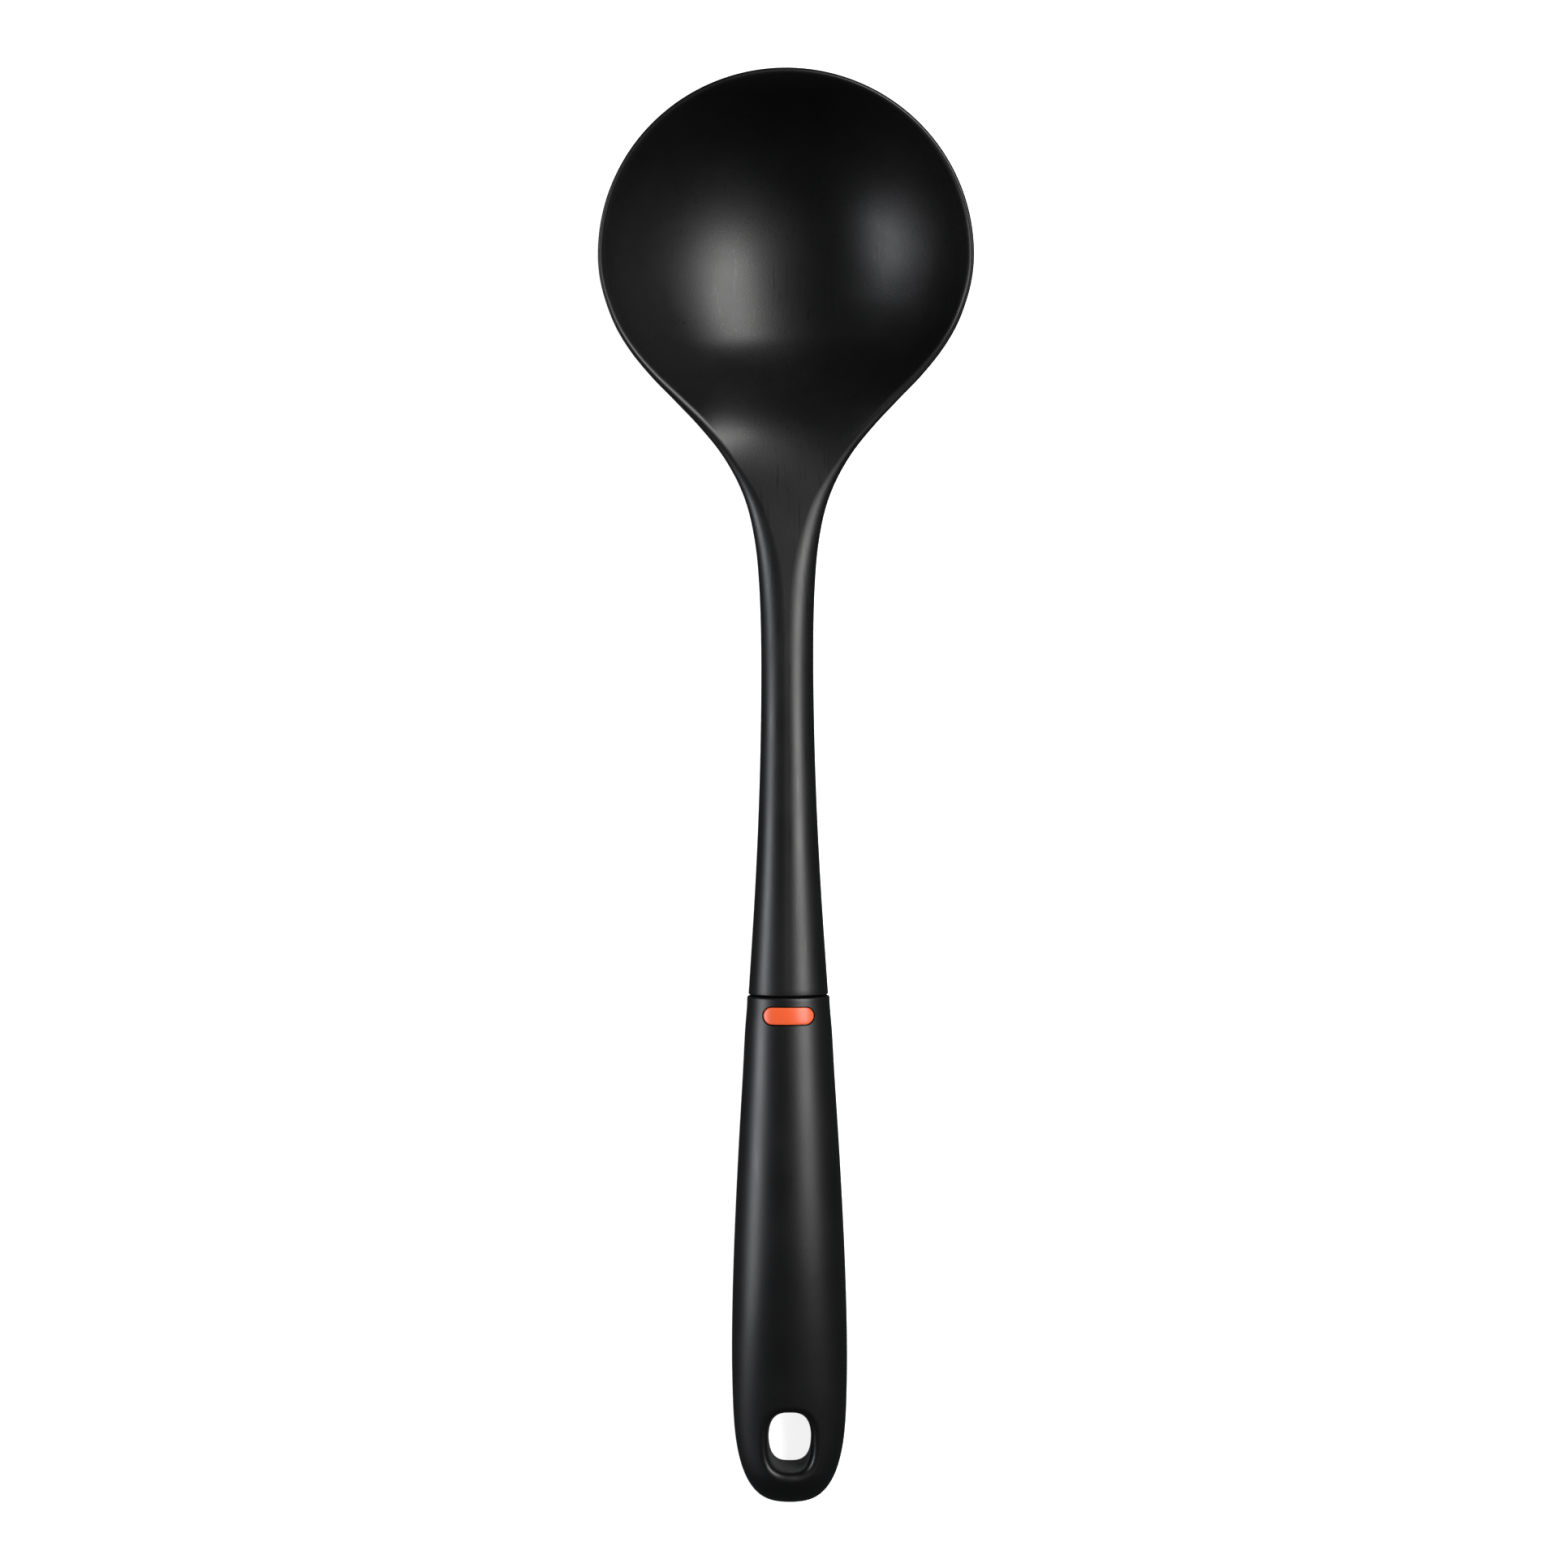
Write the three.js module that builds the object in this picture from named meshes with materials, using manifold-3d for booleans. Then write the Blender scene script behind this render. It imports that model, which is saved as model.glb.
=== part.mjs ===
// A nylon soup ladle with a soft-grip handle, lying on its back on a table, in millimetres.
// +Y runs from the handle's end to the bowl's tip, +X across, +Z up. The origin is on the table,
// under the middle of the ladle's length.
//
// Everything follows one spine: a line in the Y-Z plane through the middle of the bowl's rim, bending up
// in the neck and arching down along the handle. A point is given as (across, along, up): across is X,
// along is the distance on the spine from the bowl's centre towards the handle, up is square to the spine.
//
// The bowl, neck and shaft are one nylon moulding: a curved sheet with a rounded edge, thin in the bowl and
// thick in the shaft, ending in a tang. The tang sits in a rigid core, and the soft grip is moulded over it.

import * as THREE from "three";
import { mergeVertices } from "three/addons/utils/BufferGeometryUtils.js";
import Module from "manifold-3d";

const { abs, sign, sin, cos, tan, sqrt, hypot, min, max, PI } = Math;
const { degToRad: radians, smoothstep: smoothStep, smootherstep: smootherStep, clamp } = THREE.MathUtils;
const wasm = await Module();
wasm.setup();

// ---- Driving dimensions -------------------------------------------------------------------------------

const BOWL_HALF_WIDTH = 45.35;
const BOWL_WALL = 1.8;
const BOWL_WALL_ANGLE = radians(74); // of the wall at the rim, from the rim's plane

const SEAM = 181; // along the spine, where the shaft enters the grip
const HANDLE_END = 307.1;
const TANG_END = 246;
const TANG_HALF_WIDTH = 5.6;
const TANG_HALF_THICKNESS = 3.2;

const RIM_TILT = radians(15.3); // the bowl's tip is higher than the back of its rim
const NECK_START = 26;
const NECK_END = 98;
const NECK_TURN = radians(18);
const ARCH_TURN = radians(13.5);
const FLATTEN_START = 24; // the bowl's curved section flattens out over this stretch
const FLATTEN_END = 58;
const FLATTEST = 1e-3; // radians, so that a flat section is still an arc
const BOWL_CENTRE_Y = 130.2;
const BOWL_CENTRE_Z = 34.55;

const GRIP_SKIN = 2.6;
const CORE_START = SEAM + 7;
const HOLE_CENTRE = 290.5;
const HOLE_HALF_WIDTH = 5.6;
const HOLE_HALF_LENGTH = 7.9;
const HOLE_POWER = 2.8; // of its superellipse outline
const MOUTH_RADIUS = 1.9; // of the rounding where it comes out on either face
const CORE_LEDGE = 0.4; // the core stands this far into the hole, all round
const MOUTH_LEVEL = 0.95; // of the half-thickness on the centre line: the faces fall away to the sides
const FIT_GAP = 0.3; // between pieces that touch

const INLAY_CENTRE = SEAM + 4.4;
const INLAY_HALF_WIDTH = 6.1;
const INLAY_HALF_LENGTH = 2.05;
const INLAY_DEPTH = 1.5;

// Half-widths seen from above, and half-thicknesses, as [along, value]. Each list is one smooth curve.
const HEAD_HALF_WIDTH = smoothCurve([
  [0, BOWL_HALF_WIDTH], [6, 44.85], [12, 43.35], [18, 41], [24, 37.4], [30, 32.6], [36, 26.95], [42, 21.4],
  [48, 16.55], [54, 12.9], [60, 10.3], [66, 8.65], [74, 7.4], [86, 6.6], [104, 6.4], [128, 6.85], [152, 7.9],
  [SEAM, 9.75],
]);
const HEAD_HALF_THICKNESS = smoothCurve([
  [0, BOWL_WALL / 2], [25, 1], [40, 1.35], [52, 2], [65, 3.2], [80, 4.6], [100, 5.5], [130, 6], [155, 7],
  [SEAM, 8.3],
]);
// The rounded edge is an ellipse. This is its half-width: a slim lip on the bowl, the shaft's whole side.
const EDGE_HALF_WIDTH = smoothCurve([
  [0, 2.4], [22, 1.7], [40, 1.4], [50, 1.9], [60, 3.6], [70, 4.9], [80, 5.9], [104, 6.1], [128, 6.5], [155, 7.7],
  [SEAM, 9.4],
]);
const LIP_END = 55;
const SHAFT_START = 100;
const LIP_EDGE_START = radians(90);
const SHAFT_EDGE_START = radians(35);
const GRIP_HALF_WIDTH = smoothCurve([
  [SEAM, 10.05], [190, 10.65], [200, 11.2], [220, 12.4], [240, 13.4], [256, 13.95], [270, 14.15], [285, 13.95],
  [HANDLE_END, 13.9],
]);
const GRIP_HALF_THICKNESS = smoothCurve([
  [SEAM, 8.6], [195, 9.2], [215, 10.1], [240, 10.7], [258, 10.4], [275, 9.1], [290, 7.6], [HANDLE_END, 6.9],
]);
const GRIP_END_SPAN = 31; // the grip's outline rounds off over this length
const GRIP_END_POWER = 2.85; // of the superellipse it follows
const GRIP_EDGE_SPAN = 9; // seen from the side, it rounds off over this length

const GRIP_COLOUR = new THREE.Color(0x1b1b1d);
const NYLON_COLOUR = new THREE.Color(0x161617);
const CORE_COLOUR = new THREE.Color(0x242426);
const INLAY_COLOUR = new THREE.Color(0xee5a2b);

// ---- Curves -------------------------------------------------------------------------------------------

// A smooth curve through [x, y] points: cubic pieces whose slope at a point is that of its neighbours.
function smoothCurve(points) {
  const slope = points.map((_, i) => {
    const [x0, y0] = points[max(i - 1, 0)];
    const [x1, y1] = points[min(i + 1, points.length - 1)];
    return i === 0 ? 0 : (y1 - y0) / (x1 - x0);
  });
  return (x) => {
    let i = 0;
    while (i < points.length - 2 && x > points[i + 1][0]) i++;
    const [x0, y0] = points[i];
    const [x1, y1] = points[i + 1];
    const h = x1 - x0;
    const t = clamp((x - x0) / h, 0, 1);
    const t2 = t * t;
    const t3 = t2 * t;
    return (2 * t3 - 3 * t2 + 1) * y0 + (t3 - 2 * t2 + t) * h * slope[i]
      + (3 * t2 - 2 * t3) * y1 + (t3 - t2) * h * slope[i + 1];
  };
}

// How steep the section's wall is at its edge: the bowl's angle, fading to a flat section in the shaft.
const wallAngle = (along) =>
  BOWL_WALL_ANGLE * (1 - smootherStep(along, FLATTEN_START, FLATTEN_END)) + FLATTEST;

// Where the ring round a section leaves its faces for its edge, as an angle on the edge's ellipse: at the top
// of the bowl's lip, lower on the shaft. It spaces the points and doesn't change the shape.
const edgeStart = (along) =>
  LIP_EDGE_START + (SHAFT_EDGE_START - LIP_EDGE_START) * smoothStep(along, LIP_END, SHAFT_START);

// ---- The spine ----------------------------------------------------------------------------------------

const spineAngle = (along) =>
  -RIM_TILT
  + NECK_TURN * smoothStep(along, NECK_START, NECK_END)
  - ARCH_TURN * clamp((along - NECK_END) / (HANDLE_END - NECK_END), 0, 1);

const SPINE_STEP = 0.5;
const spine = [{ y: BOWL_CENTRE_Y, z: BOWL_CENTRE_Z }];
for (let along = SPINE_STEP / 2; along < HANDLE_END; along += SPINE_STEP) {
  const last = spine.at(-1);
  const angle = spineAngle(along);
  spine.push({ y: last.y - SPINE_STEP * cos(angle), z: last.z + SPINE_STEP * sin(angle) });
}

// The point (across, along, up) in the ladle's own frame. The spine is straight ahead of the bowl's centre.
function place(across, along, up) {
  const angle = spineAngle(along);
  const i = clamp(Math.floor(along / SPINE_STEP), 0, spine.length - 1);
  const rest = along - i * SPINE_STEP;
  return new THREE.Vector3(
    across,
    spine[i].y - rest * cos(angle) + up * sin(angle),
    spine[i].z + rest * sin(angle) + up * cos(angle),
  );
}

// ---- Solids -------------------------------------------------------------------------------------------

// A solid from a geometry whose faces meet. Points that coincide are welded.
function solidOf(geometry) {
  geometry.deleteAttribute("normal");
  geometry.deleteAttribute("uv");
  const merged = mergeVertices(geometry, 1e-3);
  const corners = merged.index.array;
  const triangles = [];
  for (let i = 0; i < corners.length; i += 3) {
    const [a, b, c] = corners.slice(i, i + 3);
    if (a !== b && b !== c && a !== c) triangles.push(a, b, c);
  }
  return new wasm.Manifold(new wasm.Mesh({
    numProp: 3,
    vertProperties: merged.attributes.position.array,
    triVerts: new Uint32Array(triangles),
  }));
}

// A solid skinned over closed rings of points, all of the same length. A ring may lie folded flat on itself.
// The last ring is closed with a fan of triangles, and so is the first unless it is folded.
function skin(rings, foldedFirst = false) {
  const count = rings[0].length;
  const points = rings.flat();
  const indices = [];
  for (let r = 0; r + 1 < rings.length; r++) {
    for (let i = 0; i < count; i++) {
      const a = r * count + i;
      const b = r * count + (i + 1) % count;
      indices.push(a, b + count, b, a, a + count, b + count);
    }
  }
  const close = (first, turn) => {
    const middle = points.slice(first, first + count)
      .reduce((sum, p) => sum.add(p), new THREE.Vector3()).divideScalar(count);
    const m = points.push(middle) - 1;
    for (let i = 0; i < count; i++) {
      const ends = [first + i, first + (i + 1) % count];
      indices.push(m, ...(turn ? ends : ends.reverse()));
    }
  };
  if (!foldedFirst) close(0, true);
  close((rings.length - 1) * count, false);
  const geometry = new THREE.BufferGeometry().setFromPoints(points);
  geometry.setIndex(indices);
  return solidOf(geometry);
}

function geometryOf(solid) {
  const mesh = solid.getMesh();
  const geometry = new THREE.BufferGeometry();
  geometry.setAttribute("position", new THREE.BufferAttribute(mesh.vertProperties, 3));
  geometry.setIndex(new THREE.BufferAttribute(mesh.triVerts, 1));
  geometry.computeVertexNormals();
  return geometry;
}

const TABLE_WIDTH = 200;
const TABLE_LENGTH = 500;
const TABLE_DEPTH = 40;

// Everything above the table: the bowl and the handle's heel each stand on a small flat.
function restOnTable(solid) {
  const table = new THREE.BoxGeometry(TABLE_WIDTH, TABLE_LENGTH, TABLE_DEPTH);
  return solid.subtract(solidOf(table.translate(0, 0, -TABLE_DEPTH / 2)));
}

// ---- Bowl, neck and shaft -----------------------------------------------------------------------------

const SHEET_COLUMNS = 18;
const EDGE_SEGMENTS = 5;
const FAN_STATIONS = 11; // round the front of the bowl
const BOWL_STEP = 5; // between stations in the bowl and neck
const SHAFT_STEP = 15.5;
const LONG_STEPS_START = 90;
const NUDGE = 0.05; // a short way along, to take a slope over
const NUDGE_ACROSS = 0.01; // the same for u
const TANG_ROOT = 1; // the tang starts this far inside the shaft

// The half-width of the sheet's middle, up to the centre of its rounded edge: the outline from above is exact.
function chord(along) {
  const angle = wallAngle(along);
  const edge = hypot(EDGE_HALF_WIDTH(along) * cos(angle), HEAD_HALF_THICKNESS(along) * sin(angle));
  const taper = (HEAD_HALF_WIDTH(along + NUDGE) - HEAD_HALF_WIDTH(max(along - NUDGE, 0))) / (2 * NUDGE);
  return HEAD_HALF_WIDTH(along) - edge * sqrt(1 + taper * taper);
}

// A point of the sheet's middle surface, with u from -1 at one edge to 1 at the other. A station is a section
// across the ladle, or in the front half of the bowl two radii at the angle fan from straight across.
function sheet({ along, fan }, u) {
  const angle = wallAngle(along);
  const c = chord(along);
  const across = c * sin(u * angle) / sin(angle);
  const up = -c * (cos(u * angle) - cos(angle)) / sin(angle);
  return new THREE.Vector3(across * cos(fan), along - abs(across) * sin(fan), up);
}

// The sheet's upward normal, and the outward direction in the sheet at its edge.
function sheetFrame(station, u) {
  const { along, fan } = station;
  const angle = wallAngle(along);
  const side = sign(u) || 1;
  if (along === 0) {
    const centre = new THREE.Vector3(0, 0, chord(0) / tan(angle));
    const normal = centre.sub(sheet(station, u)).normalize();
    const out = new THREE.Vector3(side * cos(fan) * cos(angle), -sin(fan) * cos(angle), sin(angle));
    return { normal, out };
  }
  const before = { along: along - NUDGE, fan };
  const after = { along: along + NUDGE, fan };
  const alongside = sheet(after, u).sub(sheet(before, u));
  const right = min(u + NUDGE_ACROSS, 1);
  const left = max(u - NUDGE_ACROSS, -1);
  const acrossways = sheet(station, right).sub(sheet(station, left));
  const normal = acrossways.clone().cross(alongside).normalize();
  const edgeways = sheet(after, side).sub(sheet(before, side));
  const out = edgeways.cross(normal).normalize().multiplyScalar(side);
  return { normal, out };
}

// One closed ring round the moulding: over the top, round one edge, back underneath and round the other edge.
function headRing(station) {
  const { along } = station;
  const half = HEAD_HALF_THICKNESS(along);
  const edge = EDGE_HALF_WIDTH(along);
  const angle = wallAngle(along);
  const arc = chord(along) * angle / sin(angle);
  const begin = edgeStart(along);
  const reach = arc + edge * cos(begin);
  const at = (a, lift) => {
    const side = sign(a) || 1;
    const beyond = max(abs(a) - arc, 0);
    const u = beyond > 0 ? side : a / arc;
    const { normal, out } = sheetFrame(station, u);
    const p = sheet(station, u).addScaledVector(normal, lift).addScaledVector(out, beyond);
    return place(p.x, p.y, p.z);
  };
  const face = (a, side) => at(a, side * half * sqrt(max(1 - (max(abs(a) - arc, 0) / edge) ** 2, 0)));
  const ring = [];
  for (let i = 0; i <= SHEET_COLUMNS; i++) ring.push(face(reach * (2 * i / SHEET_COLUMNS - 1), 1));
  for (let k = 1; k < EDGE_SEGMENTS; k++) {
    const turn = begin * (1 - 2 * k / EDGE_SEGMENTS);
    ring.push(at(arc + edge * cos(turn), half * sin(turn)));
  }
  for (let i = 0; i <= SHEET_COLUMNS; i++) ring.push(face(reach * (1 - 2 * i / SHEET_COLUMNS), -1));
  for (let k = 1; k < EDGE_SEGMENTS; k++) {
    const turn = begin * (2 * k / EDGE_SEGMENTS - 1);
    ring.push(at(-arc - edge * cos(turn), half * sin(turn)));
  }
  return ring;
}

function bowlAndShaft() {
  const rings = [];
  for (let k = FAN_STATIONS; k > 0; k--) {
    rings.push(headRing({ along: 0, fan: PI / 2 * k / FAN_STATIONS }));
  }
  for (let along = 0; along < LONG_STEPS_START; along += BOWL_STEP) {
    rings.push(headRing({ along, fan: 0 }));
  }
  for (let along = LONG_STEPS_START; along < SEAM; along += SHAFT_STEP) {
    rings.push(headRing({ along, fan: 0 }));
  }
  const shoulder = SEAM - FIT_GAP;
  rings.push(headRing({ along: shoulder, fan: 0 }));
  const tang = flatBar(shoulder - TANG_ROOT, TANG_END, 0);
  return restOnTable(skin(rings, true).add(tang));
}

// ---- Handle -------------------------------------------------------------------------------------------

const OVAL_POINTS = 28;
const TANG_STATIONS = 5;
const HANDLE_STATIONS = 8;
const END_STATIONS = 10; // round its end
const HOLE_POINTS = 32;
const INLAY_ARC_STEPS = 8;
const BLUNTNESS = 0.02; // the last ring stands this far from the very end, where it would have no width
const LEAST_SHARE = 1e-4; // what is left of a superellipse's width to the power, at the least
const OVERRUN = 3; // a space is cut this far past the face that it opens in
const BLOCK_HEIGHT = 20; // of the block that the inlay is cut from

// A ring round the spine: an oval of the given half-width and half-thickness.
function ovalRing(along, halfWidth, halfThickness) {
  const ring = [];
  for (let i = 0; i < OVAL_POINTS; i++) {
    const turn = -2 * PI * i / OVAL_POINTS;
    ring.push(place(-halfWidth * cos(turn), along, -halfThickness * sin(turn)));
  }
  return ring;
}

const ovalBar = (stations, halfWidth, halfThickness) =>
  skin(stations.map((along) => ovalRing(along, halfWidth(along), halfThickness(along))));

const stationsBetween = (from, to, count) =>
  Array.from({ length: count + 1 }, (_, i) => from + (to - from) * i / count);

// Stations that crowd together towards the handle's rounded end.
const stationsToEnd = (from, to, count) =>
  Array.from({ length: count + 1 }, (_, i) => from + (to - from) * sin(PI / 2 * i / count));

// A bar with the tang's section, or the space round it when margin is more than 0.
const flatBar = (from, to, margin) => ovalBar(
  stationsBetween(from, to, TANG_STATIONS),
  () => TANG_HALF_WIDTH + margin,
  () => TANG_HALF_THICKNESS + margin,
);

// How far a superellipse of the given span has rounded off at this distance from its end: 1 where it starts to,
// 0 at the end.
function roundOff(left, span, power) {
  const t = max(1 - left / span, 0);
  return max(1 - t ** power, LEAST_SHARE) ** (1 / power);
}

// The grip's outer shape, set back by inset all round and ending short of the handle's end by the same amount.
function handleBody(from, inset) {
  const end = HANDLE_END - inset;
  const width = (along) =>
    (GRIP_HALF_WIDTH(along) - inset) * roundOff(end - along, GRIP_END_SPAN - inset, GRIP_END_POWER);
  const thickness = (along) =>
    (GRIP_HALF_THICKNESS(along) - inset) * roundOff(end - along, GRIP_EDGE_SPAN - inset / 2, 2);
  const bend = HANDLE_END - GRIP_END_SPAN;
  const straight = stationsBetween(from, bend, HANDLE_STATIONS);
  const rounded = stationsToEnd(bend, end - BLUNTNESS, END_STATIONS).slice(1);
  return ovalBar([...straight, ...rounded], width, thickness);
}

// The hanging hole's outline, grown by a margin, as points round the hole's centre in the handle's plane.
function holeOutline(margin) {
  return Array.from({ length: HOLE_POINTS }, (_, i) => {
    const turn = 2 * PI * i / HOLE_POINTS;
    const [c, s] = [cos(turn), sin(turn)];
    const bend = (v) => sign(v) * abs(v) ** (2 / HOLE_POWER);
    return [(HOLE_HALF_WIDTH + margin) * bend(c), (HOLE_HALF_LENGTH + margin) * bend(s)];
  });
}

// A bar through the handle, from below. A step is a height above the handle's middle and the outline's margin.
const holeBar = (steps) =>
  skin(steps.map(([up, margin]) => holeOutline(margin).map(([across, along]) => {
    const angle = spineAngle(HOLE_CENTRE);
    return place(across, HOLE_CENTRE, up).add(new THREE.Vector3(0, -along * cos(angle), along * sin(angle)));
  })));

// The hole through the soft grip, its mouths rounded over onto both faces.
function roundedHole() {
  const face = MOUTH_LEVEL * GRIP_HALF_THICKNESS(HOLE_CENTRE);
  const mouth = [0, 30, 60, 85].map((degrees) => {
    const turn = radians(degrees);
    return [face - MOUTH_RADIUS * (1 - sin(turn)), MOUTH_RADIUS * (1 - cos(turn))];
  });
  const upper = [...mouth, [face + MOUTH_RADIUS, 2 * MOUTH_RADIUS]];
  const lower = upper.map(([up, margin]) => [-up, margin]);
  return holeBar([...lower.reverse(), ...upper]);
}

// The stadium-shaped inlay's outline, grown by a margin.
function inlayOutline(margin) {
  const r = INLAY_HALF_LENGTH + margin;
  const straight = INLAY_HALF_WIDTH - INLAY_HALF_LENGTH;
  const shape = new THREE.Shape();
  shape.absarc(straight, 0, r, -PI / 2, PI / 2, false);
  shape.absarc(-straight, 0, r, PI / 2, 3 * PI / 2, false);
  return shape;
}

// The space within the inlay's outline that lies above an offset of the grip's surface.
function inlaySpace(margin, depth) {
  const angle = spineAngle(INLAY_CENTRE);
  const seat = place(0, INLAY_CENTRE, 0);
  const block = new THREE.ExtrudeGeometry(inlayOutline(margin), {
    depth: BLOCK_HEIGHT,
    bevelEnabled: false,
    curveSegments: INLAY_ARC_STEPS,
  }).rotateX(-angle).translate(seat.x, seat.y, seat.z);
  return solidOf(block).subtract(handleBody(SEAM, depth));
}

function softGrip() {
  const coreSpace = handleBody(CORE_START - FIT_GAP, GRIP_SKIN - FIT_GAP);
  const tangSpace = flatBar(SEAM - OVERRUN, CORE_START + OVERRUN, FIT_GAP);
  const inlayPocket = inlaySpace(FIT_GAP, INLAY_DEPTH + FIT_GAP);
  const sleeve = handleBody(SEAM, 0).subtract(coreSpace).subtract(tangSpace);
  return restOnTable(sleeve.subtract(roundedHole()).subtract(inlayPocket));
}

function handleCore() {
  const socket = flatBar(CORE_START - OVERRUN, TANG_END + FIT_GAP, FIT_GAP);
  const reach = GRIP_HALF_THICKNESS(HOLE_CENTRE);
  const eye = holeBar([[-reach, -CORE_LEDGE], [reach, -CORE_LEDGE]]);
  return handleBody(CORE_START, GRIP_SKIN).subtract(socket).subtract(eye);
}

const accentInlay = () => inlaySpace(0, INLAY_DEPTH).intersect(handleBody(SEAM, 0));

// ---- Assembly -----------------------------------------------------------------------------------------

function piece(name, solid, color, roughness) {
  const material = new THREE.MeshStandardMaterial({ color, roughness, metalness: 0 });
  const mesh = new THREE.Mesh(geometryOf(solid), material);
  mesh.name = name;
  return mesh;
}

const ladle = new THREE.Group();
ladle.add(piece("bowl_and_shaft", bowlAndShaft(), NYLON_COLOUR, 0.4));
ladle.add(piece("handle_core", handleCore(), CORE_COLOUR, 0.5));
ladle.add(piece("soft_grip", softGrip(), GRIP_COLOUR, 0.5));
ladle.add(piece("accent_inlay", accentInlay(), INLAY_COLOUR, 0.35));

export default ladle;
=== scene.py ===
"""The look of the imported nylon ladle: fine meshes, materials, a pale floor and soft studio light.

Shapes are worked out in millimetres, in the ladle's own run of three coordinates: across is X, along is the
distance on the spine from the bowl's centre towards the handle, and up is square to the spine. place() turns
them into the row frame.
"""

from math import cos, pi, radians, sin

import bpy
import numpy as np
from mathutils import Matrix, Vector


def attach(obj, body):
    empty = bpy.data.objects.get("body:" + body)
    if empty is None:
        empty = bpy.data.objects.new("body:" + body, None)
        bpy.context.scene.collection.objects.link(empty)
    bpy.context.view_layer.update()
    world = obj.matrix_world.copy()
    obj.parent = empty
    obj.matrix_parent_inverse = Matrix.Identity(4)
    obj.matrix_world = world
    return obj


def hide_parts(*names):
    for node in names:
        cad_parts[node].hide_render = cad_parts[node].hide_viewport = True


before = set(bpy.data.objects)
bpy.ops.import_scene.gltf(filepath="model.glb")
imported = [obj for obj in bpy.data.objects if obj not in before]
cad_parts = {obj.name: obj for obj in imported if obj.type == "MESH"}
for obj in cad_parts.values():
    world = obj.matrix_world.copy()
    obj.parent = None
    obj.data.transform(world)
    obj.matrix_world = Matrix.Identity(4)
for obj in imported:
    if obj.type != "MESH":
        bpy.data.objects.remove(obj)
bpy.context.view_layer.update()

MM = 0.001

# ---- Dimensions, the same as the CAD part's ------------------------------------------------------------

BOWL_HALF_WIDTH = 45.35
BOWL_WALL = 1.8
BOWL_WALL_ANGLE = radians(74)  # of the wall at the rim, from the rim's plane

SEAM = 181.0  # along the spine, where the shaft enters the grip
HANDLE_END = 307.1
TANG_END = 246.0
TANG_HALF_WIDTH = 5.6
TANG_HALF_THICKNESS = 3.2

RIM_TILT = radians(15.3)
NECK_START = 26.0
NECK_END = 98.0
NECK_TURN = radians(18)
FLATTEN_START = 24.0  # the bowl's curved section flattens out over this stretch
FLATTEN_END = 58.0
FLATTEST = 1e-3  # radians, so that a flat section is still an arc
LIP_END = 55.0  # the edge goes from the bowl's thin lip to the shaft's fuller round over this stretch
SHAFT_START = 100.0
LIP_EDGE_DEGREES = 90
SHAFT_EDGE_DEGREES = 35
ARCH_TURN = radians(13.5)
BOWL_CENTRE_Y = 130.2
BOWL_CENTRE_Z = 34.55

GRIP_SKIN = 2.6
CORE_START = SEAM + 7
GRIP_END_SPAN = 31.0
GRIP_END_POWER = 2.85
GRIP_EDGE_SPAN = 9.0
HOLE_CENTRE = 290.5
HOLE_HALF_WIDTH = 5.6
HOLE_HALF_LENGTH = 7.9
HOLE_POWER = 2.8
MOUTH_RADIUS = 1.9
CORE_LEDGE = 0.4
FIT_GAP = 0.3

INLAY_CENTRE = SEAM + 4.4
INLAY_HALF_WIDTH = 6.1
INLAY_HALF_LENGTH = 2.05
INLAY_DEPTH = 1.5
INLAY_EDGE = 0.25  # rounding of the inlay's top edge
INLAY_CROWN = 0.08  # how far its middle stands above the grip
LEAST_SHARE = 1e-4  # of a rounded end's width that is kept at its tip

SHOULDER_EDGE = 0.35  # rounding of the shaft's end at the seam
GRIP_EDGE = 0.5  # rounding of the grip's front edge

FAN_STATIONS = 90
SECTION_STEP = 0.75
SHEET_COLUMNS = 144
EDGE_SEGMENTS = 14
GRIP_VOXEL = 0.4
LONG_STEPS_START = 110  # beyond this the shaft changes slowly, so its stations are twice as far apart
CORNER_DEGREES = (30, 60, 90)  # the steps of a small rounded corner
TANG_WELD = 2e-6  # metres
LINE_WELD = 1e-4  # millimetres, for a ring that has shrunk to a line
OVERRUN = 3.0  # a cutter goes this far past the surface that it cuts
CUTTER_HALF_HEIGHT = 15


def smooth_curve(*points):
    """A function through (x, y) points: cubic pieces whose slope at a point is that of its neighbours."""
    xs, ys = np.array(points, float).T
    slope = np.zeros(len(xs))
    slope[1:-1] = (ys[2:] - ys[:-2]) / (xs[2:] - xs[:-2])
    slope[-1] = (ys[-1] - ys[-2]) / (xs[-1] - xs[-2])

    def value(x):
        i = np.clip(np.searchsorted(xs, x, side="right") - 1, 0, len(xs) - 2)
        h = xs[i + 1] - xs[i]
        t = np.clip((x - xs[i]) / h, 0, 1)
        t2, t3 = t**2, t**3
        return (
            (2 * t3 - 3 * t2 + 1) * ys[i]
            + (t3 - 2 * t2 + t) * h * slope[i]
            + (3 * t2 - 2 * t3) * ys[i + 1]
            + (t3 - t2) * h * slope[i + 1]
        )

    return value


def smooth_step(x, start, end):
    t = np.clip((x - start) / (end - start), 0, 1)
    return t * t * (3 - 2 * t)


def smoother_step(x, start, end):
    t = np.clip((x - start) / (end - start), 0, 1)
    return t**3 * (t * (6 * t - 15) + 10)


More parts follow.
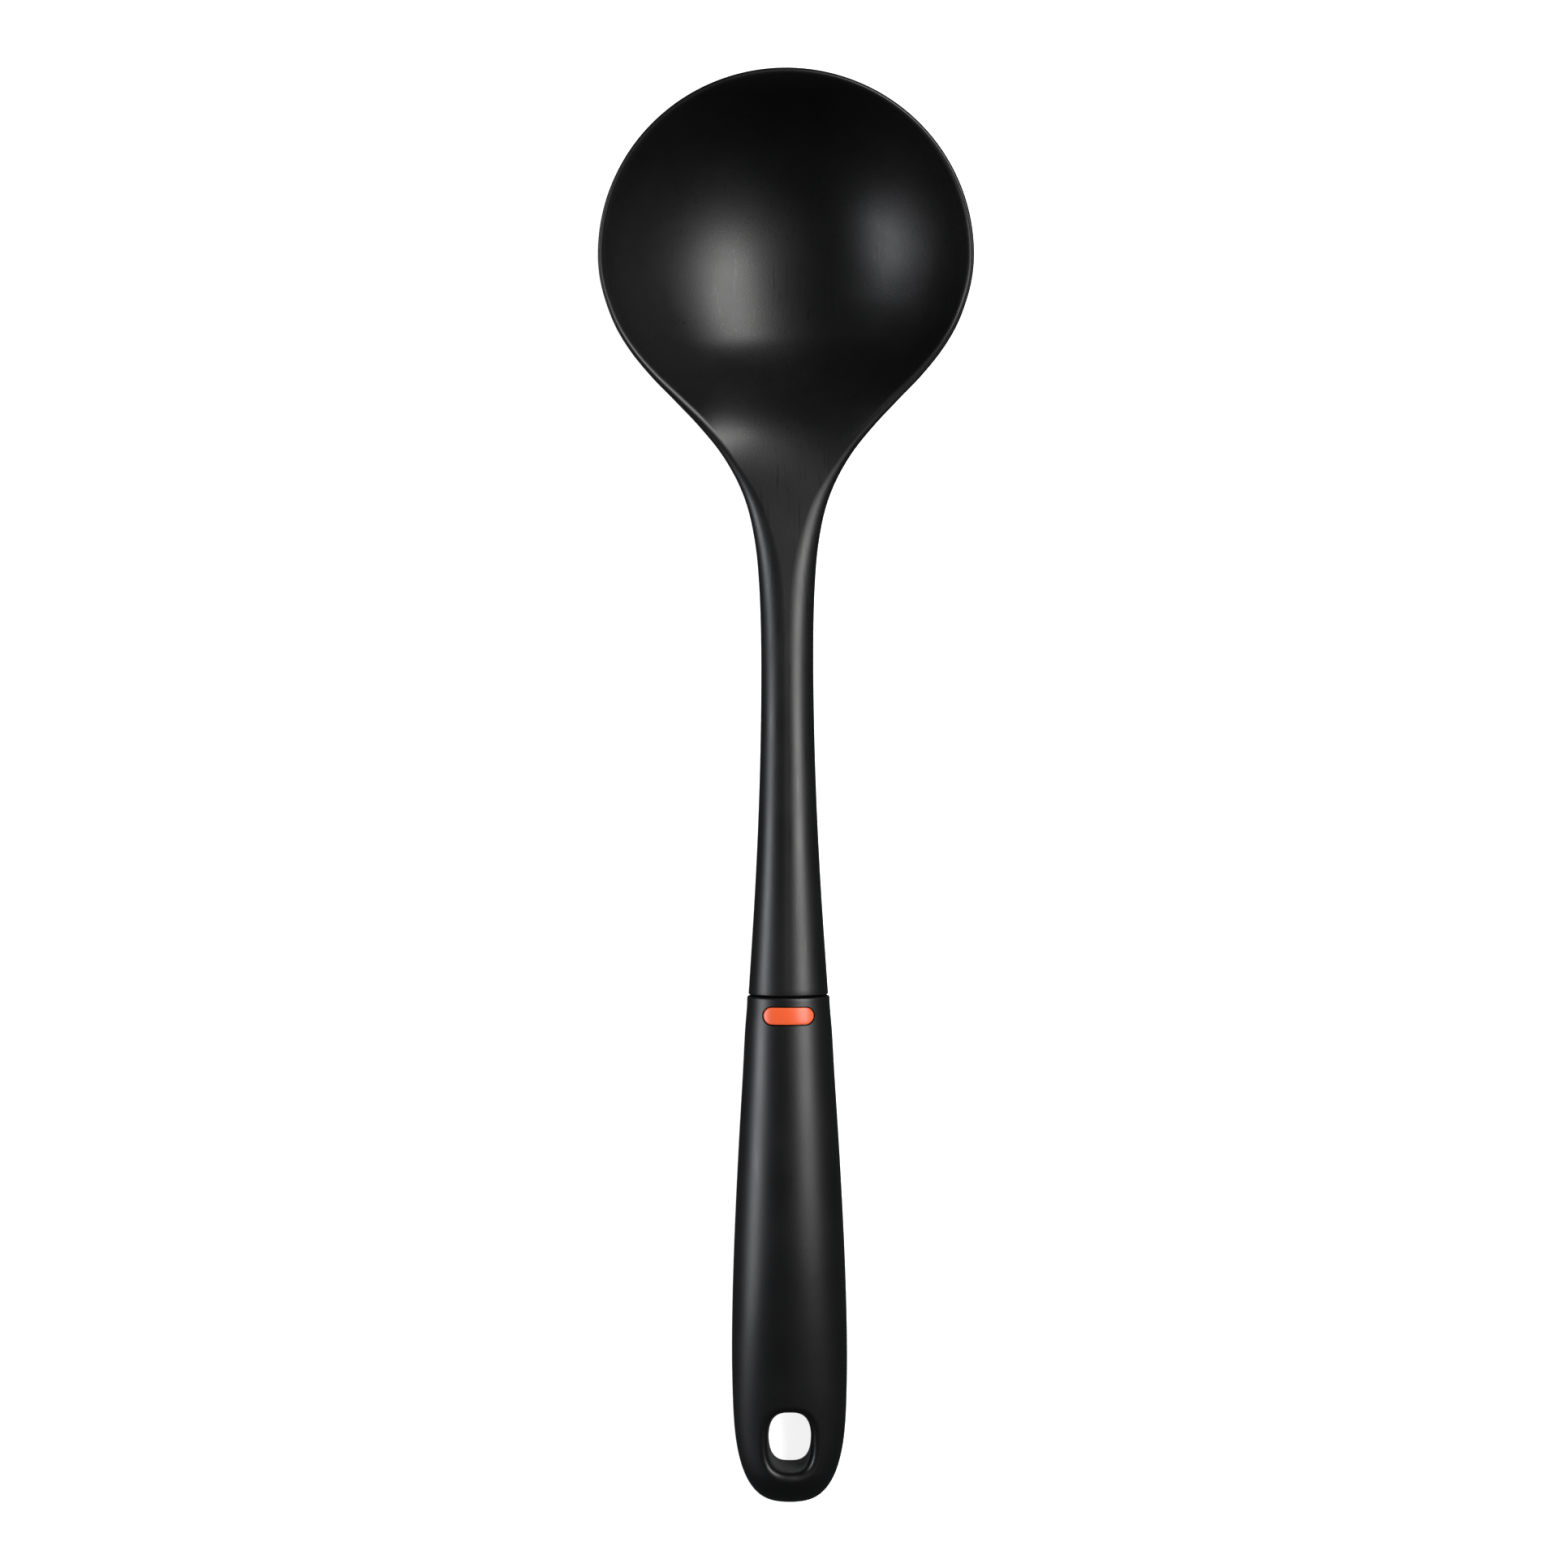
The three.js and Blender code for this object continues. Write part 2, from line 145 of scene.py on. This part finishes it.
head_half_width = smooth_curve(
    (0, BOWL_HALF_WIDTH), (6, 44.85), (12, 43.35), (18, 41), (24, 37.4), (30, 32.6), (36, 26.95),
    (42, 21.4), (48, 16.55), (54, 12.9), (60, 10.3), (66, 8.65), (74, 7.4), (86, 6.6), (104, 6.4),
    (128, 6.85), (152, 7.9), (SEAM, 9.75),
)
head_half_thickness = smooth_curve(
    (0, BOWL_WALL / 2), (25, 1), (40, 1.35), (52, 2), (65, 3.2), (80, 4.6), (100, 5.5), (130, 6), (155, 7),
    (SEAM, 8.3),
)
edge_half_width = smooth_curve(
    (0, 2.4), (22, 1.7), (40, 1.4), (50, 1.9), (60, 3.6), (70, 4.9), (80, 5.9), (104, 6.1), (128, 6.5),
    (155, 7.7), (SEAM, 9.4),
)
grip_half_width = smooth_curve(
    (SEAM, 10.05), (190, 10.65), (200, 11.2), (220, 12.4), (240, 13.4), (256, 13.95), (270, 14.15),
    (285, 13.95), (HANDLE_END, 13.9),
)
grip_half_thickness = smooth_curve(
    (SEAM, 8.6), (195, 9.2), (215, 10.1), (240, 10.7), (258, 10.4), (275, 9.1), (290, 7.6), (HANDLE_END, 6.9),
)


def wall_angle(along):
    return BOWL_WALL_ANGLE * (1 - smoother_step(along, FLATTEN_START, FLATTEN_END)) + FLATTEST


def edge_start(along):
    drop = LIP_EDGE_DEGREES - SHAFT_EDGE_DEGREES
    return np.radians(LIP_EDGE_DEGREES - drop * smooth_step(along, LIP_END, SHAFT_START))


# ---- The spine -----------------------------------------------------------------------------------------


def spine_angle(along):
    arch = np.clip((along - NECK_END) / (HANDLE_END - NECK_END), 0, 1)
    return -RIM_TILT + NECK_TURN * smooth_step(along, NECK_START, NECK_END) - ARCH_TURN * arch


SPINE_STEP = 0.25
spine_along = np.arange(0, HANDLE_END + 10, SPINE_STEP)
step_angles = spine_angle(spine_along[:-1] + SPINE_STEP / 2)
spine_y = BOWL_CENTRE_Y - SPINE_STEP * np.concatenate([[0], np.cumsum(np.cos(step_angles))])
spine_z = BOWL_CENTRE_Z + SPINE_STEP * np.concatenate([[0], np.cumsum(np.sin(step_angles))])


def place(points):
    """(across, along, up) points in millimetres, as row-frame points in metres. Ahead of the bowl's centre
    the spine is straight, and nothing goes below the table."""
    across, along, up = np.moveaxis(np.asarray(points, float), -1, 0)
    angle = spine_angle(along)
    ahead = np.minimum(along, 0)
    y = np.interp(along, spine_along, spine_y) - ahead * np.cos(angle) + up * np.sin(angle)
    z = np.interp(along, spine_along, spine_z) + ahead * np.sin(angle) + up * np.cos(angle)
    return np.stack([across, y, np.maximum(z, 0)], -1) * MM


# ---- Meshes --------------------------------------------------------------------------------------------


def ring_faces(rings, count, close_first, close_last):
    """Quads over closed rings of points, and a polygon over each end ring that is to be closed."""
    r, i = np.meshgrid(np.arange(rings - 1), np.arange(count), indexing="ij")
    j = (i + 1) % count
    quads = np.stack([r * count + i, (r + 1) * count + i, (r + 1) * count + j, r * count + j], -1)
    faces = quads.reshape(-1, 4).tolist()
    if close_first:
        faces.append(list(range(count)))
    if close_last:
        faces.append(list(range(rings * count - 1, (rings - 1) * count - 1, -1)))
    return faces


def new_object(name, vertices, faces):
    mesh = bpy.data.meshes.new(name)
    mesh.from_pydata([tuple(v) for v in vertices], [], faces)
    obj = bpy.data.objects.new(name, mesh)
    bpy.context.scene.collection.objects.link(obj)
    return obj


def apply_modifiers(obj):
    """Turns the object's modifiers into its mesh."""
    evaluated = obj.evaluated_get(bpy.context.evaluated_depsgraph_get())
    mesh = bpy.data.meshes.new_from_object(evaluated)
    obj.modifiers.clear()
    obj.data = mesh


def cut(obj, *tools):
    """Cuts the tools away from the object and removes them."""
    for tool in tools:
        modifier = obj.modifiers.new("cut", "BOOLEAN")
        modifier.operation = "DIFFERENCE"
        modifier.solver = "MANIFOLD"
        modifier.object = tool
        apply_modifiers(obj)
        bpy.data.objects.remove(tool)


def weld(obj, distance):
    modifier = obj.modifiers.new("weld", "WELD")
    modifier.merge_threshold = distance
    apply_modifiers(obj)


def shade(obj, sharp_from=38):
    """Smooth shading, except over edges sharper than the given angle in degrees."""
    obj.data.shade_smooth()
    obj.data.set_sharp_from_angle(angle=radians(sharp_from))


def coordinates(obj):
    values = np.empty(len(obj.data.vertices) * 3)
    obj.data.vertices.foreach_get("co", values)
    return values.reshape(-1, 3)


def set_coordinates(obj, points):
    obj.data.vertices.foreach_set("co", np.asarray(points, float).ravel())
    obj.data.update()


def settle(obj):
    """Moves a mesh made in (across, along, up) coordinates into the row frame, which has the other hand."""
    set_coordinates(obj, place(coordinates(obj)))
    obj.data.flip_normals()


# ---- Bowl, neck and shaft ------------------------------------------------------------------------------

NUDGE = 0.05  # millimetres along the spine, for slopes
NUDGE_ACROSS = 0.01  # of a half section


def chord(along):
    angle = wall_angle(along)
    edge = np.hypot(edge_half_width(along) * np.cos(angle), head_half_thickness(along) * np.sin(angle))
    before = np.maximum(along - NUDGE, 0)
    taper = (head_half_width(along + NUDGE) - head_half_width(before)) / (2 * NUDGE)
    return head_half_width(along) - edge * np.sqrt(1 + taper**2)


def sheet(along, fan, u):
    """A point of the moulding's middle surface, with u from -1 at one edge to 1 at the other. A station is
    a section across the ladle, or in the bowl's front half two radii at the angle fan from straight across."""
    angle = wall_angle(along)
    across = chord(along) * np.sin(u * angle) / np.sin(angle)
    up = -chord(along) * (np.cos(u * angle) - np.cos(angle)) / np.sin(angle)
    return np.stack([across * np.cos(fan), along - np.abs(across) * np.sin(fan), up], -1)


def unit(v):
    return v / np.maximum(np.linalg.norm(v, axis=-1, keepdims=True), 1e-12)


def sheet_frame(along, fan, u):
    """The middle surface's upward normal, and the outward direction in it at its edge."""
    side = np.where(u < 0, -1.0, 1.0)
    angle = wall_angle(along)
    zero = np.zeros_like(u)
    centre = np.stack([zero, zero, chord(0.0) / np.tan(angle)], -1)
    ball_normal = unit(centre - sheet(along, fan, u))
    flat = np.cos(angle)
    ball_out = np.stack([side * np.cos(fan) * flat, -np.sin(fan) * flat, np.sin(angle)], -1)
    lengthways = sheet(along + NUDGE, fan, u) - sheet(along - NUDGE, fan, u)
    right, left = np.minimum(u + NUDGE_ACROSS, 1), np.maximum(u - NUDGE_ACROSS, -1)
    crossways = sheet(along, fan, right) - sheet(along, fan, left)
    normal = unit(np.cross(crossways, lengthways))
    edgeways = sheet(along + NUDGE, fan, side) - sheet(along - NUDGE, fan, side)
    out = unit(np.cross(edgeways, normal)) * side[..., None]
    in_ball = (along <= 0)[..., None]
    return np.where(in_ball, ball_normal, normal), np.where(in_ball, ball_out, out)


def head_rings(along, fan):
    """Closed rings round the moulding, one for each station: over the top, round an edge, back underneath and
    round the other edge."""
    along, fan = along[:, None], fan[:, None]
    half, edge = head_half_thickness(along), edge_half_width(along)
    angle = wall_angle(along)
    arc = chord(along) * angle / np.sin(angle)
    begin = edge_start(along)
    reach = arc + edge * np.cos(begin)
    spread = np.linspace(-1, 1, SHEET_COLUMNS + 1)[None, :]
    turn = begin * np.linspace(1, -1, EDGE_SEGMENTS + 1)[None, 1:-1]
    over = reach * spread
    rise = half * np.sqrt(np.clip(1 - (np.maximum(np.abs(over) - arc, 0) / edge) ** 2, 0, 1))
    round_out = arc + edge * np.cos(turn)
    a = np.concatenate([over, round_out, -over, -round_out], 1)
    lift = np.concatenate([rise, half * np.sin(turn), -rise, -half * np.sin(turn)], 1)
    u = np.clip(a / arc, -1, 1)
    along, fan = along + 0 * a, fan + 0 * a
    normal, out = sheet_frame(along, fan, u)
    beyond = np.maximum(np.abs(a) - arc, 0)
    return sheet(along, fan, u) + lift[..., None] * normal + beyond[..., None] * out


def bowl_and_shaft():
    shoulder = SEAM - FIT_GAP
    fans = np.linspace(pi / 2, 0, FAN_STATIONS, endpoint=False)
    sections = np.concatenate([
        np.arange(0, LONG_STEPS_START, SECTION_STEP),
        np.arange(LONG_STEPS_START, shoulder - SHOULDER_EDGE, 2 * SECTION_STEP),
    ])
    along = np.concatenate([np.zeros(len(fans)), sections])
    rings = list(head_rings(along, np.concatenate([fans, np.zeros(len(sections))])))
    last = head_rings(np.array([shoulder]), np.array([0.0]))[0]
    size = np.array([head_half_width(shoulder), 1, head_half_thickness(shoulder)])
    for degrees in (0, *CORNER_DEGREES):
        inset = SHOULDER_EDGE * (1 - cos(radians(degrees)))
        back = SHOULDER_EDGE * (1 - sin(radians(degrees)))
        rings.append(last * (size - [inset, 0, inset]) / size - [0, back, 0])
    turn = np.arctan2(last[:, 2] / size[2], last[:, 0] / size[0])
    for end in (shoulder, TANG_END):
        tang = [TANG_HALF_WIDTH * np.cos(turn), np.full(len(turn), end), TANG_HALF_THICKNESS * np.sin(turn)]
        rings.append(np.stack(tang, -1))
    points = np.array(rings)
    faces = ring_faces(len(points), points.shape[1], False, True)
    obj = new_object("nylon_moulding", place(points).reshape(-1, 3), faces)
    weld(obj, TANG_WELD)
    shade(obj)
    return obj


# ---- Handle --------------------------------------------------------------------------------------------

OVAL_POINTS = 72
HOLE_POINTS = 96
HANDLE_STATIONS = 40
TIP_GAP = 0.02  # the last ring stands this far short of the very end
LEAST_LEFT = 0.3  # millimetres, so that the end's two roundings keep a ratio
SMALL_MOVE = 0.01  # millimetres, for slopes
STEEPNESS_FLOOR = 0.05  # keeps the steps finite where a surface function is almost level
LONGEST_MOVE = 0.4  # millimetres, of a vertex in one round


def oval_bar(name, along, half_width, half_thickness):
    """A bar along the spine with an oval section, in (across, along, up) coordinates."""
    turn = np.linspace(0, 2 * pi, OVAL_POINTS, endpoint=False)
    rings = np.stack([
        half_width[:, None] * np.cos(turn),
        along[:, None] + 0 * turn,
        half_thickness[:, None] * np.sin(turn),
    ], -1)
    return new_object(name, rings.reshape(-1, 3), ring_faces(len(along), OVAL_POINTS, True, True))


def tang_bar(start, end, margin):
    along = np.linspace(start, end, 2)
    width = np.full(2, TANG_HALF_WIDTH + margin)
    thickness = np.full(2, TANG_HALF_THICKNESS + margin)
    return oval_bar("tang_space", along, width, thickness)


def round_off(left, span, power):
    t = np.clip(1 - left / span, 0, 1)
    return np.maximum(1 - t**power, LEAST_SHARE) ** (1 / power)


def handle_bar(name, start, inset):
    """The handle's outer shape from start to its rounded end, set back by inset all round."""
    end = HANDLE_END - inset
    bend = HANDLE_END - GRIP_END_SPAN
    crowd = bend + (end - TIP_GAP - bend) * np.sin(np.linspace(0, pi / 2, HANDLE_STATIONS))
    along = np.concatenate([np.linspace(start, bend, HANDLE_STATIONS)[:-1], crowd])
    outline = round_off(end - along, GRIP_END_SPAN - inset, GRIP_END_POWER)
    profile = round_off(end - along, GRIP_EDGE_SPAN - inset / 2, 2)
    width = (grip_half_width(along) - inset) * outline
    thickness = (grip_half_thickness(along) - inset) * profile
    return oval_bar(name, along, width, thickness)


def hole_bar(margin):
    """The hanging hole, its outline grown by margin, as a bar standing through the handle."""
    turn = np.linspace(0, 2 * pi, HOLE_POINTS, endpoint=False)

    def bend(v):
        return np.sign(v) * np.abs(v) ** (2 / HOLE_POWER)

    across = (HOLE_HALF_WIDTH + margin) * bend(np.cos(turn))
    along = HOLE_CENTRE + (HOLE_HALF_LENGTH + margin) * bend(np.sin(turn))
    levels = (CUTTER_HALF_HEIGHT, -CUTTER_HALF_HEIGHT)
    rings = [np.stack([across, along, 0 * turn + up], -1) for up in levels]
    return new_object("hole_space", np.concatenate(rings), ring_faces(2, len(turn), True, True))


def slope_of(level, points):
    """How fast a function of points changes in each of the three directions, one row a direction."""
    return np.array([
        (level(points + d) - level(points - d)) / (2 * SMALL_MOVE) for d in SMALL_MOVE * np.eye(3)
    ])


def near_distance(level, points):
    """A function that is zero on a surface, scaled so that near the surface it is the distance from it."""
    return level(points) / np.maximum(np.linalg.norm(slope_of(level, points), axis=0), 1e-6)


def grip_level(points):
    """Below zero inside the grip's outer shape, whose oval sections shrink towards its rounded end."""
    across, along, up = points.T
    left = HANDLE_END - along
    t = np.clip(1 - left / GRIP_END_SPAN, 0, None)
    kept = np.maximum(left, LEAST_LEFT)
    plumper = round_off(kept, GRIP_EDGE_SPAN, 2) / round_off(kept, GRIP_END_SPAN, GRIP_END_POWER)
    oval = np.hypot(across / grip_half_width(along), up / (grip_half_thickness(along) * plumper))
    return (oval**GRIP_END_POWER + t**GRIP_END_POWER) ** (1 / GRIP_END_POWER) - 1


def hole_level(points):
    """Below zero in the material round the hanging hole."""
    across, along, _ = points.T
    p = HOLE_POWER
    reach = np.abs(across / HOLE_HALF_WIDTH) ** p + np.abs((along - HOLE_CENTRE) / HOLE_HALF_LENGTH) ** p
    return 1 - (reach + 1e-9) ** (1 / p)


def both(a, b, radius):
    """Where two solids overlap, with the edge between them rounded to the radius."""
    corner = np.hypot(np.maximum(a + radius, 0), np.maximum(b + radius, 0))
    return np.minimum(np.maximum(a, b), -radius) + corner


def grip_surface(points):
    """Zero on the grip's finished surface: its outer shape, the hole's rounded mouths and the front edge."""
    outside = near_distance(grip_level, points)
    with_hole = both(outside, near_distance(hole_level, points), MOUTH_RADIUS)
    return both(with_hole, SEAM - points[:, 1], GRIP_EDGE)


def draw_onto(obj, surface, rounds=5):
    """Moves each vertex the shortest way onto the surface."""
    points = coordinates(obj)
    for _ in range(rounds):
        slope = slope_of(surface, points).T
        step = surface(points) / np.maximum((slope**2).sum(-1), STEEPNESS_FLOOR)
        points = points - np.clip(step, -LONGEST_MOVE, LONGEST_MOVE)[:, None] * slope
    set_coordinates(obj, points)


def inlay_outline(margin, count=24):
    """Points round the pill-shaped inlay's outline, grown by a margin, as (across, along) from its centre."""
    radius = INLAY_HALF_LENGTH + margin
    straight = INLAY_HALF_WIDTH - INLAY_HALF_LENGTH
    turn = np.linspace(-pi / 2, pi / 2, count)
    right = np.stack([straight + radius * np.cos(turn), radius * np.sin(turn)], -1)
    side = np.stack([np.linspace(straight, -straight, count)[1:-1], np.full(count - 2, radius)], -1)
    half = np.concatenate([right, side])
    return np.concatenate([half, -half])


def grip_height(across, along):
    return grip_half_thickness(along) * np.sqrt(1 - (across / grip_half_width(along)) ** 2)


def inlay_ring(margin, drop):
    """The outline grown by margin and laid on the grip, drop below its surface."""
    across, along = inlay_outline(margin).T
    along = along + INLAY_CENTRE
    return np.stack([across, along, grip_height(across, along) - drop], -1)


def inlay_pocket():
    floor_drop = INLAY_DEPTH + FIT_GAP
    steps = [(FIT_GAP, -OVERRUN), (FIT_GAP, floor_drop), (-INLAY_HALF_LENGTH, floor_drop)]
    rings = [inlay_ring(margin, drop) for margin, drop in steps]
    obj = new_object("pocket", np.concatenate(rings), ring_faces(3, len(rings[0]), True, False))
    weld(obj, LINE_WELD)
    return obj


def soft_grip():
    obj = handle_bar("soft_grip_skin", SEAM, 0)
    cut(obj, hole_bar(0))
    remesh = obj.modifiers.new("even", "REMESH")
    remesh.mode = "VOXEL"
    remesh.voxel_size = GRIP_VOXEL
    apply_modifiers(obj)
    draw_onto(obj, grip_surface)
    cavity = handle_bar("core_space", CORE_START - FIT_GAP, GRIP_SKIN - FIT_GAP)
    cut(obj, cavity, tang_bar(SEAM - OVERRUN, CORE_START + OVERRUN, FIT_GAP), inlay_pocket())
    settle(obj)
    shade(obj)
    return obj


def handle_core():
    obj = handle_bar("rigid_core", CORE_START, GRIP_SKIN)
    socket = tang_bar(CORE_START - OVERRUN, TANG_END + FIT_GAP, FIT_GAP)
    cut(obj, socket, hole_bar(-CORE_LEDGE))
    settle(obj)
    shade(obj)
    return obj


def accent_inlay():
    """The inlay as rings from the middle line of its base out to the side, up it, over the rounded edge and
    in to the middle line of its top. The first ring and the last have no width, so welding closes them."""
    steps = [(-INLAY_HALF_LENGTH, INLAY_DEPTH), (0.0, INLAY_DEPTH), (0.0, INLAY_EDGE)]
    for degrees in CORNER_DEGREES:
        turn = radians(degrees)
        steps.append((-INLAY_EDGE * (1 - cos(turn)), INLAY_EDGE * (1 - sin(turn))))
    for share in (0.3, 0.5, 0.7, 0.85, 1.0):
        steps.append((-INLAY_HALF_LENGTH * share, -INLAY_CROWN * (1 - (1 - share) ** 2)))
    rings = [inlay_ring(margin, drop) for margin, drop in steps]
    faces = ring_faces(len(rings), len(rings[0]), False, False)
    obj = new_object("orange_inlay", np.concatenate(rings), faces)
    weld(obj, LINE_WELD)
    obj.data.flip_normals()
    settle(obj)
    shade(obj)
    return obj


# ---- Materials -----------------------------------------------------------------------------------------

PATCH_SCALE = 45.0  # noise scales are in features per metre
RUB_SCALE = 1500.0
RUB_STRETCH = 0.04  # the rub marks' scale along the ladle, as a share of that across it
RUB_SLANT = radians(4)
GRAIN_DEPTH = 0.00005
LIGHTER = 1.5  # the patches' lighter tone, times the base colour


def new_material(name):
    """A material with its principled shader, and a function that adds a node to it."""
    material = bpy.data.materials.new(name)
    material.use_nodes = True
    tree = material.node_tree
    shader = tree.nodes["Principled BSDF"]

    def add(kind, **settings):
        node = tree.nodes.new(kind)
        for key, value in settings.items():
            if key in node.inputs:
                node.inputs[key].default_value = value
            else:
                setattr(node, key, value)
        return node

    return material, shader, add, tree.links.new


def noise(add, link, place_from, scale, detail=4.0, roughness=0.55):
    """Noise over the object, with its scale in features per metre."""
    texture = add("ShaderNodeTexNoise", Scale=scale, Detail=detail, Roughness=roughness)
    link(place_from, texture.inputs["Vector"])
    return texture.outputs["Fac"]


def ramp(add, link, value, low, high, from_min=0.3, from_max=0.7):
    """A value mapped onto the range from low to high."""
    limits = {"From Min": from_min, "From Max": from_max, "To Min": low, "To Max": high}
    node = add("ShaderNodeMapRange", **limits)
    link(value, node.inputs["Value"])
    return node.outputs["Result"]


def total(add, link, a, b):
    node = add("ShaderNodeMath", operation="ADD")
    link(a, node.inputs[0])
    link(b, node.inputs[1])
    return node.outputs["Value"]


def moulded_plastic(name, colour, roughness, grain, grain_scale, patch=0.04, wear=0.0):
    """Satin plastic: a fine moulded grain, patches that are a little shinier, a colour that hardly varies,
    and faint lengthways rub marks, polished where wear is more than 0."""
    material, shader, add, link = new_material(name)
    where = add("ShaderNodeTexCoord").outputs["Object"]
    patches = noise(add, link, where, PATCH_SCALE, 3.0)
    fine = noise(add, link, where, grain_scale, 2.0, 0.6)
    tone = add("ShaderNodeMixRGB", Color1=(*colour, 1), Color2=(*(c * LIGHTER for c in colour), 1))
    link(patches, tone.inputs["Fac"])
    link(tone.outputs["Color"], shader.inputs["Base Color"])
    lengthways = add("ShaderNodeMapping", Scale=(1.0, RUB_STRETCH, 1.0), Rotation=(0.0, 0.0, RUB_SLANT))
    link(where, lengthways.inputs["Vector"])
    rubs = noise(add, link, lengthways.outputs["Vector"], RUB_SCALE, 3.0)
    polish = ramp(add, link, rubs, 0.0, -wear, 0.6, 0.72)
    satin = ramp(add, link, patches, roughness - patch, roughness + patch)
    link(total(add, link, satin, polish), shader.inputs["Roughness"])
    bump = add("ShaderNodeBump", Strength=grain, Distance=GRAIN_DEPTH)
    link(fine, bump.inputs["Height"])
    link(bump.outputs["Normal"], shader.inputs["Normal"])
    return material


nylon = moulded_plastic("nylon_black", (0.0015, 0.0015, 0.0016), 0.42, 0.35, 2600.0, 0.04, 0.08)
soft = moulded_plastic("soft_touch_black", (0.0015, 0.0015, 0.0017), 0.4, 0.25, 3400.0, 0.03, 0.03)
core = moulded_plastic("core_black", (0.03, 0.03, 0.031), 0.42, 0.15, 2600.0)
orange = moulded_plastic("inlay_orange", (0.6, 0.08, 0.022), 0.34, 0.1, 2600.0)

# ---- The pieces ----------------------------------------------------------------------------------------


def stand_for(obj, node, material):
    obj.data.materials.clear()
    obj.data.materials.append(material)
    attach(obj, "root")
    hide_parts(node)


stand_for(bowl_and_shaft(), "bowl_and_shaft", nylon)
stand_for(soft_grip(), "soft_grip", soft)
stand_for(handle_core(), "handle_core", core)
stand_for(accent_inlay(), "accent_inlay", orange)

# ---- Floor, light and camera ---------------------------------------------------------------------------

bpy.ops.mesh.primitive_plane_add(size=14)
floor = bpy.context.object
floor.name = "floor"
paper, paper_shader, add, link = new_material("floor_white")
speckle = noise(add, link, add("ShaderNodeTexCoord").outputs["Object"], 60.0)
link(ramp(add, link, speckle, 0.78, 0.84), paper_shader.inputs["Roughness"])
paper_shader.inputs["Base Color"].default_value = (0.9, 0.9, 0.9, 1)
paper_shader.inputs["Emission Color"].default_value = (1, 1, 1, 1)
paper_shader.inputs["Emission Strength"].default_value = 0.85
floor.data.materials.append(paper)
floor.visible_glossy = False


def soft_box(name, aim, tilt, swing, distance, size, power, colour):
    """A rectangular light that shines on aim from a direction tilt degrees off the vertical, turned swing
    degrees from +X towards +Y. Its size is its length, which is level, and its width."""
    data = bpy.data.lights.new(name, "AREA")
    data.shape = "RECTANGLE"
    data.size, data.size_y = size
    data.energy = power
    data.color = colour
    light = bpy.data.objects.new(name, data)
    t, s = radians(tilt), radians(swing)
    towards = Vector((sin(t) * cos(s), sin(t) * sin(s), cos(t)))
    light.location = Vector(aim) + towards * distance
    light.rotation_mode = "QUATERNION"
    light.rotation_quaternion = towards.to_track_quat("Z", "Y")
    bpy.context.scene.collection.objects.link(light)


soft_box("key", (0, 0.46, 0.03), 37, 0, 0.95, (1.34, 0.4), 18, (1, 1, 0.99))
soft_box("side", (0, -0.08, 0.03), 69, 180, 1.0, (0.6, 0.34), 6.6, (0.94, 0.95, 1))

world = bpy.data.worlds.new("studio")
world.use_nodes = True
world.node_tree.nodes["Background"].inputs["Color"].default_value = (0.9, 0.95, 1, 1)
world.node_tree.nodes["Background"].inputs["Strength"].default_value = 0.05
bpy.context.scene.world = world

CAMERA_HEIGHT = 1.4
CAMERA_OFFSET = (-0.0009, 0.0025)  # from the origin, looking straight down
CAMERA_ROLL = radians(-0.19)
camera_data = bpy.data.cameras.new("camera")
camera_data.sensor_width = 36
camera_data.lens = 130
camera = bpy.data.objects.new("camera", camera_data)
camera.location = (*CAMERA_OFFSET, CAMERA_HEIGHT)
camera.rotation_euler = (0, 0, CAMERA_ROLL)
bpy.context.scene.collection.objects.link(camera)
bpy.context.scene.camera = camera
bpy.context.scene.view_settings.view_transform = "Standard"
